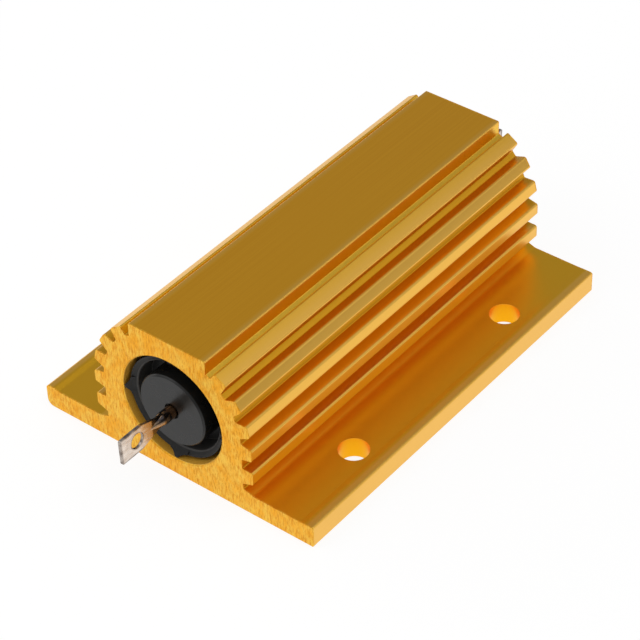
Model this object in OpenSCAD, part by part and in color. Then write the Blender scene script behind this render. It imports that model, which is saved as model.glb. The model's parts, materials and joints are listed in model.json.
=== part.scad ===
// Aluminium housed wirewound power resistor, 100 W size.
// X runs along the extrusion, Y across the mounting flanges, Z up.
// The origin is the centre of the mounting face.

/* [Housing] */
// Length of the sawn extrusion
housing_len = 65.2; // [56:0.1:130]
// Diameter of the bore that holds the resistance element
bore_d = 17; // [15:0.1:24]
// Aluminium below the bore
base_wall = 2.65; // [1.6:0.05:5]
// Aluminium above the bore
top_wall = 3.35; // [2.8:0.05:6]
// Aluminium between the bore and the groove floors
bore_wall = 3.35; // [2.4:0.05:5]
// Width of the flat top
top_flat_w = 13; // [11:0.1:15]
// Bevel where the saw cut meets the bore
bore_bevel = 0.2; // [0.1:0.05:0.5]

/* [Fins] */
// Height of the fins over the groove floors
fin_h = 1.75; // [1:0.05:3]
// Angle between neighbouring grooves above the axis
groove_pitch = 16.7; // [15:0.1:18]
// Angle of the lowest groove of that row above the horizontal
first_groove = 5.2; // [3:0.1:7]
// Width of a groove floor above the axis
groove_floor = 0.95; // [0.6:0.05:1.4]
// Lean of each groove wall away from the groove's own direction
groove_flare = 20; // [14:1:24]
// Turn of those grooves up from the radius through their floors
groove_lift = 2; // [0:0.5:4]
// Height of the two fins below the axis, root to root
low_fin_root = 2.65; // [2.2:0.05:3]
// Width of the groove floor between those two fins
low_groove_floor = 1.65; // [1.2:0.05:2]
// Lean of that groove's upper wall
low_groove_flare = 14; // [8:1:20]
// Radius on the fin tips
fin_tip_r = 0.35; // [0.1:0.05:0.5]
// Radius in the groove floors
groove_r = 0.22; // [0.1:0.02:0.3]
// Depth of the slot beside the flat top
slot_depth = 2.1; // [1.2:0.05:2.6]
// Width of that slot's floor
slot_floor = 0.75; // [0.5:0.05:1]
// Fall of that floor away from the flat top
slot_fall = 0.35; // [0.05:0.05:0.6]
// Drop of the uppermost fin below the flat top
shoulder_drop = 1.3; // [0.8:0.05:1.6]

/* [Mounting flanges] */
// Thickness of the flanges
flange_t = 3.3; // [2.4:0.05:5]
// Reach of each flange beyond the fin tips
flange_w = 9.85; // [8.5:0.05:16]
// Distance from a flange's edge to its holes
hole_edge = 4.95; // [4.5:0.05:5.6]
// Distance between the two holes of one flange
hole_span = 35; // [26:0.5:44]
// Diameter of the mounting holes
hole_d = 4.4; // [3:0.1:5]
// Height of the lip along a flange's outer edge
lip_h = 0.5; // [0.2:0.05:0.8]
// Width of the lip
lip_w = 1.5; // [0.8:0.05:1.8]
// Width of the slope behind the lip
lip_run = 0.8; // [0.4:0.05:1.2]
// Radius on the lip's outer edge
lip_r = 0.7; // [0.3:0.05:0.85]
// Radius on the flange's lower edge
heel_r = 0.5; // [0.1:0.05:1]
// Radius between flange and body
root_r = 1.6; // [0.8:0.1:2.4]
// Rise of the flange's top from that radius to the body
root_rise = 0.55; // [0.3:0.05:0.8]

/* [End caps] */
// Depth of each moulded end cap
cap_depth = 7.5; // [6.8:0.1:9]
// Gap between the cap's rim and the bore
rim_gap = 0.57; // [0.4:0.02:1]
// Wall of the rim
rim_t = 0.9; // [0.6:0.05:1.2]
// Depth of the rim below the sawn face
rim_recess = 0.95; // [0.5:0.05:1.6]
// Further fall of the rim's front towards the middle
rim_fall = 0.4; // [0.1:0.05:0.6]
// Bevel on the rim's inner edge
rim_bevel = 0.15; // [0.05:0.05:0.25]
// Width of the moat between the rim and the boss
moat_w = 1.42; // [0.8:0.02:1.8]
// Depth of the moat below the sawn face
moat_depth = 4.2; // [2.4:0.1:4.6]
// Depth of the boss's face below the sawn face
boss_recess = 0.06; // [0.02:0.02:0.4]
// Bevel round the boss's face
boss_bevel = 0.25; // [0.1:0.05:0.4]
// Number of centring ribs
rib_count = 4; // [3:1:6]
// Radius of a rib's hollow flanks
rib_flank_r = 2.5; // [1.5:0.1:4]
// Half width of the land at a rib's tip
rib_tip_half_w = 0.12; // [0.05:0.01:0.2]
// Depth of that land along the radius
rib_land = 0.2; // [0.1:0.05:0.3]
// Depth of the ribs' highest points below the sawn face
rib_recess = 0.2; // [0.05:0.05:0.4]
// Clearance of the ribs in the bore
rib_clear = 0.08; // [0.04:0.02:0.2]
// Depth of the hollow round the terminal pin
well_depth = 0.4; // [0.2:0.05:1]
// Width of that hollow beyond the pin
well_w = 0.2; // [0.1:0.05:0.6]

/* [Terminals] */
// Reach of a terminal beyond the sawn face
terminal_reach = 10.1; // [9:0.1:14]
// Diameter of the terminal pin
pin_d = 1.9; // [1.4:0.1:2.2]
// Clearance of the pin in the end cap
pin_clear = 0.05; // [0.02:0.01:0.1]
// Distance from the sawn face to where the pin is first pressed flat
press_start = 1.8; // [1.2:0.1:2.4]
// Length over which the pin thins to the tag's thickness
pin_taper = 2.6; // [1:0.1:3]
// Distance from the sawn face to where the tag begins to widen
tag_start = 3; // [2.6:0.1:3.4]
// Length over which the tag widens
tag_flare_h = 3.2; // [2:0.1:4]
// Width of the tag
tag_w = 4; // [3.2:0.05:4.6]
// Thickness of the tag
tag_t = 0.4; // [0.3:0.05:0.8]
// Radius of the outline where that widening starts and where it stops
tag_shoulder_r = 2; // [0.5:0.1:3]
// Radius on the corners of the tag's end
tag_corner_r = 0.25; // [0.1:0.05:0.6]
// Diameter of the hole in the tag
tag_hole_d = 2.3; // [1.6:0.1:2.6]
// Distance from the tag's end to its hole
tag_hole_inset = 3.1; // [2.6:0.1:4]
// Roll of the tag about the pin, from flat to upright
tag_roll = 88; // [0:1:90]

/* [Resistance element] */
// Diameter of the ceramic core
core_d = 8.6; // [7:0.1:9]
// Sheet thickness of the metal core caps
core_cap_t = 0.5; // [0.3:0.05:0.7]
// Length of core that each core cap covers
core_cap_grip = 5; // [3.5:0.1:6]
// Depth that a core cap sits in its moulded end cap
core_cap_seat = 1.5; // [1:0.1:2]
// Clearance between the pieces of the element
seat_clear = 0.05; // [0.02:0.01:0.1]
// Diameter of the resistance wire
wire_d = 0.55; // [0.4:0.05:0.7]
// Pitch of the winding, before it is evened out to whole turns
wire_pitch = 2; // [1.6:0.1:3]

/* [Hidden] */
$fn = 96;

GOLD = "#d99a2b";
BLACK = "#26262a";
TIN = "#c9c2b8";
CERAMIC = "#e9e4d8";
STEEL = "#9aa0a6";
WIRE = "#8d7f72";
FILLER = "#b9b4a6";

overcut = 1;
arc_steps = 4;
flank_steps = 6;
// Largest share of a neighbouring edge that one rounded corner takes
edge_share = 0.48;
wire_sides = 8;
wire_steps = 12;

bore_r = bore_d / 2;
axis_h = base_wall + bore_r;
housing_h = axis_h + bore_r + top_wall;
floor_r = bore_r + bore_wall;
tip_r = floor_r + fin_h;
housing_w = 2 * (tip_r + flange_w);
hole_y = housing_w / 2 - hole_edge;
rim_r = bore_r - rim_gap;
boss_r = rim_r - rim_t - moat_w;
pin_r = pin_d / 2;
core_r = core_d / 2;
core_cap_r = core_r + seat_clear + core_cap_t;
core_cap_face = housing_len / 2 - cap_depth + core_cap_seat;
core_len = 2 * (core_cap_face - core_cap_t - seat_clear);
filling_len = housing_len - 2 * cap_depth;
winding_len = core_len - 2 * core_cap_grip - wire_d;
winding_turns = round(winding_len / wire_pitch);
// The wire's rings stand off so that the straight stretches between them clear the core.
coil_r = (core_r + seat_clear) / cos(180 / wire_steps) + wire_d / 2;

// ---- plane geometry --------------------------------------------------------

function unit(v) = v / norm(v);
function polar(r, a) = r * [cos(a), sin(a)];
function turn(v, a) = [v[0] * cos(a) - v[1] * sin(a), v[0] * sin(a) + v[1] * cos(a)];

// Arc of radius r that rounds the corner q between p and s; each is [y, z].
function corner_arc(p, q, s, r) =
    let (a = unit(p - q), b = unit(s - q),
         half = acos(max(-1, min(1, a * b))) / 2,
         cut = min(r / tan(half), edge_share * min(norm(p - q), norm(s - q))),
         fit = cut * tan(half),
         mid = q + unit(a + b) * fit / sin(half),
         from = q + a * cut - mid,
         side = sign(a[0] * b[1] - a[1] * b[0]),
         sweep = (180 - 2 * half) * -side)
    [for (i = [0 : arc_steps]) mid + turn(from, sweep * i / arc_steps)];

// Closed outline through corners [y, z, radius], with every corner rounded.
function rounded(corners) =
    let (n = len(corners))
    [for (i = [0 : n - 1])
        let (c = corners[i], p = corners[(i + n - 1) % n], s = corners[(i + 1) % n])
        each c[2] == 0 ? [[c[0], c[1]]]
            : corner_arc([p[0], p[1]], [c[0], c[1]], [s[0], s[1]], c[2])];

// Where a ray from q along d, both seen from the bore's axis, leaves the fins'
// envelope: a circle above the axis and upright sides below it.
function envelope_hit(q, d) =
    let (b = q * d, reach = -b + sqrt(b * b - q * q + tip_r * tip_r), hit = q + reach * d)
    hit[1] >= 0 ? hit : q + d * (tip_r - q[0]) / d[0];

// One groove as four corners, lower lip first. Its floor is centred at c.
function groove(c, dir, floor_w, flare_low, flare_high) =
    let (across = polar(floor_w / 2, dir + 90),
         low = c - across, high = c + across,
         low_lip = envelope_hit(low, polar(1, dir - flare_low)),
         high_lip = envelope_hit(high, polar(1, dir + flare_high)))
    [[each low_lip, fin_tip_r], [each low, groove_r],
     [each high, groove_r], [each high_lip, fin_tip_r]];

// ---- the extruded section --------------------------------------------------

// Floor centres of the grooves that are cut level, below the axis.
low_groove_z = floor_r * sin(first_groove) - groove_floor / 2 - low_fin_root
             - low_groove_floor / 2;
heel_z = low_groove_z - low_groove_floor / 2 - low_fin_root;

function upper_groove(i) =
    let (a = first_groove + i * groove_pitch)
    groove(polar(floor_r, a), a + groove_lift, groove_floor, groove_flare, groove_flare);

function lifted(points) = [for (p = points) [p[0], p[1] + axis_h, p[2]]];

// Flange, from the middle of the mounting face out to the foot of the body.
flange_corners = [
    [housing_w / 2, 0, heel_r],
    [housing_w / 2, flange_t + lip_h, lip_r],
    [housing_w / 2 - lip_w, flange_t + lip_h, lip_h / 2],
    [housing_w / 2 - lip_w - lip_run, flange_t, lip_h],
    [floor_r + root_r, flange_t, root_r],
    [floor_r, flange_t + root_rise, groove_r],
    [floor_r, axis_h + heel_z, groove_r],
    [tip_r, axis_h + heel_z + fin_h * tan(groove_flare), fin_tip_r]];

// Slot beside the flat top, from the uppermost fin up to the flat.
slot_z = housing_h - slot_depth;
shoulder_z = housing_h - shoulder_drop;
slot_corners = [
    [top_flat_w / 2 + slot_floor + (shoulder_z - slot_z), shoulder_z, groove_r],
    [top_flat_w / 2 + slot_floor, slot_z - slot_fall, groove_r],
    [top_flat_w / 2, slot_z, groove_r],
    [top_flat_w / 2, housing_h, groove_r]];

half_corners = concat(
    flange_corners,
    lifted(groove([floor_r, low_groove_z], 0, low_groove_floor, 0, low_groove_flare)),
    [for (i = [0 : 2]) each lifted(upper_groove(i))],
    slot_corners);

function mirrored(points) =
    [for (i = [len(points) - 1 : -1 : 0]) [-points[i][0], points[i][1], points[i][2]]];

module along_x(length) {
    rotate([90, 0, 90]) translate([0, 0, -length / 2]) linear_extrude(length) children();
}

// Puts a piece, drawn standing on +Z, on the axis at an end: 1 is -X, 2 is +X.
module at_end(end) {
    rotate([0, 0, end == 1 ? 0 : 180]) translate([-housing_len / 2, 0, axis_h])
        rotate([0, -90, 0]) children();
}

module x_cylinder(length, r) {
    rotate([0, 90, 0]) cylinder(h = length, r = r, center = true);
}

module housing() {
    color(GOLD) difference() {
        along_x(housing_len) polygon(rounded(concat(half_corners, mirrored(half_corners))));
        translate([0, 0, axis_h]) x_cylinder(housing_len + 2 * overcut, bore_r);
        for (end = [1, 2]) at_end(end) translate([0, 0, -bore_bevel])
            cylinder(h = 2 * bore_bevel, r1 = bore_r, r2 = bore_r + 2 * bore_bevel);
        for (x = [-1, 1], y = [-1, 1]) translate([x * hole_span / 2, y * hole_y, -overcut])
            cylinder(h = flange_t + lip_h + 2 * overcut, d = hole_d);
    }
}

// ---- the moulded end caps --------------------------------------------------

// Half section of the turned part of a cap, as [radius, height over the sawn face].
function cap_profile() =
    let (well_r = pin_r + pin_clear + well_w, socket_r = core_cap_r + seat_clear)
    [[pin_r + pin_clear, -well_depth], [well_r, -well_depth], [well_r, -boss_recess],
     [boss_r - boss_bevel, -boss_recess], [boss_r, -boss_recess - boss_bevel],
     [boss_r, -moat_depth], [rim_r - rim_t, -moat_depth],
     [rim_r - rim_t, -rim_recess - rim_fall - rim_bevel],
     [rim_r - rim_t + rim_bevel, -rim_recess - rim_fall], [rim_r, -rim_recess],
     [rim_r, -cap_depth], [socket_r, -cap_depth], [socket_r, core_cap_seat - cap_depth],
     [pin_r + pin_clear, core_cap_seat - cap_depth]];

// One flank of a rib, from inside the rim out to the tip: an arc, hollow outwards.
function rib_flank() =
    let (tip = [bore_r - rib_clear, rib_tip_half_w],
         reach = rim_r - rim_bevel + rib_flank_r,
         lean = acos((reach * reach + tip * tip - rib_flank_r * rib_flank_r)
                     / (2 * reach * norm(tip))) + atan2(tip[1], tip[0]),
         mid = polar(reach, lean),
         from = lean + 180,
         to = atan2(tip[1] - mid[1], tip[0] - mid[0]) + 360)
    [for (i = [0 : flank_steps]) mid + polar(rib_flank_r, from + (to - from) * i / flank_steps)];

// Half section, as in cap_profile, of the ring that the ribs are cut from.
function rib_profile() =
    let (foot = rim_r - rim_t + rim_bevel, tip = bore_r - rib_clear)
    [[foot, -rim_recess - rim_fall - rim_bevel / 2], [tip - rib_land, -rib_recess],
     [tip + overcut, -rib_recess], [tip + overcut, -cap_depth], [foot, -cap_depth]];

// Pointed ribs that centre the cap in the bore. Their fronts rise from the rim.
module ribs() {
    flank = rib_flank();
    mirror_flank = [for (i = [flank_steps : -1 : 0]) [flank[i][0], -flank[i][1]]];
    intersection() {
        rotate_extrude() polygon(rib_profile());
        translate([0, 0, -cap_depth - overcut]) linear_extrude(cap_depth + overcut)
            for (i = [0 : rib_count - 1]) rotate(i * 360 / rib_count)
                polygon(concat([[0, 0]], flank, mirror_flank));
    }
}

module end_cap(end) {
    color(BLACK) at_end(end) {
        rotate_extrude() polygon(cap_profile());
        ribs();
    }
}

// ---- the terminals ---------------------------------------------------------

// Outline of the flattened tag, root at the bottom, along its own length.
function tag_outline() =
    let (wide = tag_start + tag_flare_h, tip = terminal_reach, half = tag_w / 2)
    rounded([[-pin_r, press_start, 0], [-pin_r, tag_start, tag_shoulder_r],
             [-half, wide, tag_shoulder_r], [-half, tip, tag_corner_r],
             [half, tip, tag_corner_r], [half, wide, tag_shoulder_r],
             [pin_r, tag_start, tag_shoulder_r], [pin_r, press_start, 0]]);

module terminal(end) {
    pin_foot = housing_len / 2 - core_cap_face;
    color(TIN) at_end(end) rotate([0, 0, 90 - tag_roll]) difference() {
        union() {
            translate([0, 0, -pin_foot]) cylinder(h = pin_foot + press_start, r = pin_r);
            translate([0, 0, press_start])
                cylinder(h = pin_taper, r1 = pin_r, r2 = tag_t / 2);
            rotate([90, 0, 0]) translate([0, 0, -tag_t / 2])
                linear_extrude(tag_t) polygon(tag_outline());
        }
        translate([0, 0, terminal_reach - tag_hole_inset]) rotate([90, 0, 0])
            cylinder(h = tag_t + 2 * overcut, d = tag_hole_d, center = true);
    }
}

// ---- the resistance element ------------------------------------------------

module ceramic_core() {
    color(CERAMIC) translate([0, 0, axis_h]) x_cylinder(core_len, core_r);
}

// Pressed metal cup that grips the core and carries the pin.
module core_cap(end) {
    depth = core_cap_t + seat_clear + core_cap_grip;
    color(STEEL) at_end(end) translate([0, 0, core_cap_face - housing_len / 2 - depth])
        difference() {
            cylinder(h = depth, r = core_cap_r);
            translate([0, 0, -overcut])
                cylinder(h = core_cap_grip + seat_clear + overcut, r = core_r + seat_clear);
        }
}

// Round wire as a helix between the core caps: rings of points, joined by quads.
module resistance_winding() {
    rings = winding_turns * wire_steps;
    points = [for (i = [0 : rings], k = [0 : wire_sides - 1])
        let (a = 360 * i / wire_steps, side = polar(wire_d / 2, 360 * k / wire_sides))
        [winding_len * (i / rings - 0.5) + side[1],
         (coil_r + side[0]) * sin(a), (coil_r + side[0]) * cos(a)]];
    walls = [for (i = [0 : rings - 1], k = [0 : wire_sides - 1])
        let (here = i * wire_sides, next = here + wire_sides, l = (k + 1) % wire_sides)
        [here + k, here + l, next + l, next + k]];
    ends = [[for (k = [wire_sides - 1 : -1 : 0]) k],
            [for (k = [0 : wire_sides - 1]) rings * wire_sides + k]];
    color(WIRE) translate([0, 0, axis_h]) polyhedron(points, concat(walls, ends));
}

// Cast filler between the wound core and the bore.
module filling() {
    color(FILLER) translate([0, 0, axis_h]) difference() {
        x_cylinder(filling_len, bore_r);
        x_cylinder(filling_len + 2 * overcut, max(core_cap_r, coil_r + wire_d / 2) + seat_clear);
    }
}

housing();
filling();
ceramic_core();
resistance_winding();
core_cap(1);  // core_cap_1
core_cap(2);  // core_cap_2
end_cap(1);  // end_cap_1
end_cap(2);  // end_cap_2
terminal(1);  // terminal_1
terminal(2);  // terminal_2
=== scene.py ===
"""Looks of an aluminium housed power resistor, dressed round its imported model.

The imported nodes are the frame: they stay where they are.  This script gives every
surface its finish, models the housing, the two solder terminals and the two moulded
end caps in finer detail over the solids that stand for them, and sets the camera, the
lamps and a plain pale floor.  Lengths are in metres unless a text says otherwise.
"""

import json
import logging
import math
from dataclasses import dataclass, field
from enum import Enum
from typing import ClassVar

import bpy
from mathutils import Matrix, Vector


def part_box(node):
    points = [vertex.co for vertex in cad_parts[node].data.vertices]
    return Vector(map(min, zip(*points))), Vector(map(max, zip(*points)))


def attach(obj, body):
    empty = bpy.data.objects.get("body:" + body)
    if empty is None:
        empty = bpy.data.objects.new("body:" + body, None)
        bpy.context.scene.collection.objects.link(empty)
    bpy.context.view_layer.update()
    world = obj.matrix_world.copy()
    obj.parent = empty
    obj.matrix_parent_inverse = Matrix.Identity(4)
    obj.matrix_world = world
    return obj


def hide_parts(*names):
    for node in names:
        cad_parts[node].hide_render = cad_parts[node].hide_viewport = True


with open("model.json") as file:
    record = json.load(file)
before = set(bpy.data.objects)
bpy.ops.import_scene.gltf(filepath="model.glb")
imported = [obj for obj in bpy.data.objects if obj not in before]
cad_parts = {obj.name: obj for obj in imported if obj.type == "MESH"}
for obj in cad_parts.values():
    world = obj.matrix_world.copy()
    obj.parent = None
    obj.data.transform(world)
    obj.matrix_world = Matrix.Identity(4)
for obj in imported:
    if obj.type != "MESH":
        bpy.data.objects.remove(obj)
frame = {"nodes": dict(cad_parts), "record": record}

log = logging.getLogger("power_resistor")

MM = 0.001

# Values of a noise that are spread out over the whole of a mask.
NOISE_MIDDLE = (0.35, 0.65)
NOISE_WIDE = (0.3, 0.7)

# The sides at -Y and at +Y.
SIDES = (-1, 1)

Triple = tuple[float, float, float]
Colour = Triple
Range = tuple[float, float]
Socket = bpy.types.NodeSocket


# ---- helpers for shader nodes ---------------------------------------------------


class Op(Enum):
    """Math operations that the shader trees use."""

    ADD = "ADD"
    SUBTRACT = "SUBTRACT"
    MULTIPLY = "MULTIPLY"
    DIVIDE = "DIVIDE"
    MAXIMUM = "MAXIMUM"
    ABSOLUTE = "ABSOLUTE"
    GREATER = "GREATER_THAN"
    LESS = "LESS_THAN"
    ROOT = "SQRT"


class Axis(Enum):
    """Axes of the object's own coordinates."""

    X = "X"
    Y = "Y"
    Z = "Z"


class Wiring:
    """Adds nodes to one shader tree and joins them.

    Attributes:
        tree: The node tree that is being filled.
    """

    def __init__(self, tree: bpy.types.NodeTree) -> None:
        """Starts on an empty tree.

        Args:
            tree: The tree to fill.
        """
        self.tree = tree
        self.tree.nodes.clear()

    def add(self, kind: str, **settings: object) -> bpy.types.Node:
        """Adds a node and sets plain properties on it.

        Args:
            kind: The node's type, such as "ShaderNodeTexNoise".
            **settings: Properties of the node by name.

        Returns:
            The new node.
        """
        node = self.tree.nodes.new(kind)
        for name, value in settings.items():
            setattr(node, name, value)
        return node

    def feed(self, target: Socket, source: "Socket | float | tuple") -> None:
        """Joins a socket to another, or gives it a value.

        Args:
            target: The input socket.
            source: An output socket, a number or a colour.
        """
        if isinstance(source, bpy.types.NodeSocket):
            self.tree.links.new(source, target)
        else:
            target.default_value = source

    def math(self, op: Op, a: "Socket | float", b: "Socket | float" = 0.0,
             clamp: bool = False) -> Socket:
        """Adds a Math node.

        Args:
            op: The operation.
            a: First operand.
            b: Second operand.
            clamp: Whether the result is kept between 0 and 1.

        Returns:
            The result.
        """
        node = self.add("ShaderNodeMath", operation=op.value, use_clamp=clamp)
        self.feed(node.inputs[0], a)
        self.feed(node.inputs[1], b)
        return node.outputs[0]

    def blend(self, mask: "Socket | float", a: "Socket | tuple", b: "Socket | tuple") -> Socket:
        """Mixes two colours by a mask.

        Args:
            mask: 0 gives the first colour and 1 the second.
            a: First colour.
            b: Second colour.

        Returns:
            The mixed colour.
        """
        node = self.add("ShaderNodeMix", data_type="RGBA")
        self.feed(node.inputs["Factor"], mask)
        self.feed(node.inputs[6], rgba(a))
        self.feed(node.inputs[7], rgba(b))
        return node.outputs[2]

    def slide(self, value: Socket, low: float, high: float, to_low: float = 0.0,
              to_high: float = 1.0) -> Socket:
        """Maps one range of a value to another and keeps it there.

        Args:
            value: The value.
            low: Start of its range.
            high: End of its range.
            to_low: What the start becomes.
            to_high: What the end becomes.

        Returns:
            The mapped value.
        """
        node = self.add("ShaderNodeMapRange")
        for name, number in (("From Min", low), ("From Max", high),
                             ("To Min", to_low), ("To Max", to_high)):
            node.inputs[name].default_value = number
        self.feed(node.inputs["Value"], value)
        return node.outputs["Result"]

    def coordinate(self, axis: Axis) -> Socket:
        """Reads one coordinate of the point on the surface.

        Args:
            axis: The coordinate's axis.

        Returns:
            The coordinate, in millimetres.
        """
        split = self.add("ShaderNodeSeparateXYZ")
        self.feed(split.inputs[0], self.add("ShaderNodeTexCoord").outputs["Object"])
        return self.math(Op.DIVIDE, split.outputs[axis.value], MM)

    def fold(self, op: Op, first: Socket, *others: "Socket | float") -> Socket:
        """Applies an operation to several values, one after the other.

        Args:
            op: The operation.
            first: The first value.
            *others: The values that follow.

        Returns:
            The result.
        """
        for other in others:
            first = self.math(op, first, other)
        return first

    def total(self, *values: "Socket | float") -> Socket:
        """Adds several values."""
        return self.fold(Op.ADD, *values)

    def minus(self, a: "Socket | float", b: "Socket | float") -> Socket:
        """Takes the second value from the first."""
        return self.math(Op.SUBTRACT, a, b)

    def product(self, *values: "Socket | float") -> Socket:
        """Multiplies several values."""
        return self.fold(Op.MULTIPLY, *values)

    def largest(self, *values: "Socket | float") -> Socket:
        """Picks the largest of several values."""
        return self.fold(Op.MAXIMUM, *values)

    def length(self, a: Socket, b: Socket) -> Socket:
        """Measures a vector whose two parts stand square to each other."""
        return self.math(Op.ROOT, self.total(self.product(a, a), self.product(b, b)))


def rgba(colour: "Socket | Colour") -> "Socket | tuple[float, float, float, float]":
    """Gives a plain colour its fourth channel, and passes a socket on as it is."""
    return colour if isinstance(colour, bpy.types.NodeSocket) else (*colour, 1.0)


# ---- effects that several finishes share ----------------------------------------


class Effect:
    """A shader node group that is built once and placed in many materials.

    Attributes:
        name: The group's name.
        inputs: Names and first values of its inputs.
        outputs: Names of its outputs.
        tree: Its tree.
    """

    name = "effect"
    inputs: tuple[tuple[str, float], ...] = ()
    outputs: tuple[str, ...] = ("Value",)

    def __init__(self) -> None:
        """Builds the group with its sockets and its nodes."""
        self.tree = bpy.data.node_groups.new(self.name, "ShaderNodeTree")
        wiring = Wiring(self.tree)
        for name, value in self.inputs:
            socket = self.tree.interface.new_socket(name, in_out="INPUT",
                                                    socket_type="NodeSocketFloat")
            socket.default_value = value
        for name in self.outputs:
            self.tree.interface.new_socket(name, in_out="OUTPUT", socket_type="NodeSocketFloat")
        given = wiring.add("NodeGroupInput")
        made = wiring.add("NodeGroupOutput")
        self.wire(wiring, given, made)

    def wire(self, wiring: Wiring, given: bpy.types.Node, made: bpy.types.Node) -> None:
        """Fills the group.  Each effect has its own.

        Args:
            wiring: The group's wiring.
            given: The group's inputs.
            made: The group's outputs.
        """
        raise NotImplementedError

    def use(self, wiring: Wiring, **values: float) -> bpy.types.Node:
        """Places the group in a material.

        Args:
            wiring: The material's wiring.
            **values: The group's inputs, with underscores for spaces.

        Returns:
            The group node.
        """
        node = wiring.add("ShaderNodeGroup", node_tree=self.tree)
        for name, value in values.items():
            node.inputs[name.replace("_", " ").title()].default_value = value
        return node


@dataclass(frozen=True)
class Grain:
    """Settings of a noise.

    Attributes:
        per_mm: Lumps per millimetre along X, Y and Z.
        detail: Number of finer layers.
        roughness: How strong they are.
    """

    per_mm: Triple
    detail: float = 3.0
    roughness: float = 0.5


class StretchedNoise(Effect):
    """Noise with its own scale along X, Y and Z, in lumps per millimetre."""

    name = "stretched_noise"
    inputs = (("Per Mm X", 1.0), ("Per Mm Y", 1.0), ("Per Mm Z", 1.0), ("Detail", 3.0),
              ("Roughness", 0.5))

    def wire(self, wiring: Wiring, given: bpy.types.Node, made: bpy.types.Node) -> None:
        """Scales the point on each axis and samples noise there.

        Args:
            wiring: The group's wiring.
            given: The group's inputs.
            made: The group's outputs.
        """
        scale = wiring.add("ShaderNodeCombineXYZ")
        for axis in range(3):
            per_metre = wiring.math(Op.DIVIDE, given.outputs[axis], MM)
            wiring.feed(scale.inputs[axis], per_metre)
        place = wiring.add("ShaderNodeTexCoord").outputs["Object"]
        spread = wiring.add("ShaderNodeVectorMath", operation="MULTIPLY")
        wiring.feed(spread.inputs[0], place)
        wiring.feed(spread.inputs[1], scale.outputs[0])
        noise = wiring.add("ShaderNodeTexNoise")
        noise.inputs["Scale"].default_value = 1.0
        wiring.feed(noise.inputs["Vector"], spread.outputs[0])
        wiring.feed(noise.inputs["Detail"], given.outputs["Detail"])
        wiring.feed(noise.inputs["Roughness"], given.outputs["Roughness"])
        wiring.feed(made.inputs["Value"], noise.outputs["Fac"])

    def of(self, wiring: Wiring, grain: Grain) -> Socket:
        """Places the noise in a material.

        Args:
            wiring: The material's wiring.
            grain: The noise's settings.

        Returns:
            The noise, between 0 and 1.
        """
        scales = {f"per_mm_{axis.value}": scale for axis, scale in zip(Axis, grain.per_mm)}
        return self.use(wiring, **scales, detail=grain.detail,
                        roughness=grain.roughness).outputs[0]


class EndDistance(Effect):
    """How close a point lies to the nearer sawn end, along X."""

    name = "end_distance"
    inputs = (("Half Length", 30.0), ("Reach", 1.0))

    def wire(self, wiring: Wiring, given: bpy.types.Node, made: bpy.types.Node) -> None:
        """Gives 1 at the end, falling to 0 at the reach, both in millimetres.

        Args:
            wiring: The group's wiring.
            given: The group's inputs.
            made: The group's outputs.
        """
        from_middle = wiring.math(Op.ABSOLUTE, wiring.coordinate(Axis.X))
        depth = wiring.minus(given.outputs["Half Length"], from_middle)
        share = wiring.math(Op.DIVIDE, depth, given.outputs["Reach"])
        near = wiring.math(Op.SUBTRACT, 1.0, share, clamp=True)
        wiring.feed(made.inputs["Value"], near)


class AxisDistance(Effect):
    """Distance from the bore's axis in the extrusion's section, in millimetres."""

    name = "axis_distance"
    inputs = (("Axis Height", 10.0),)

    def wire(self, wiring: Wiring, given: bpy.types.Node, made: bpy.types.Node) -> None:
        """Measures the distance in the YZ plane.

        Args:
            wiring: The group's wiring.
            given: The group's inputs.
            made: The group's outputs.
        """
        above = wiring.minus(wiring.coordinate(Axis.Z), given.outputs["Axis Height"])
        wiring.feed(made.inputs["Value"], wiring.length(wiring.coordinate(Axis.Y), above))


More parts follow.
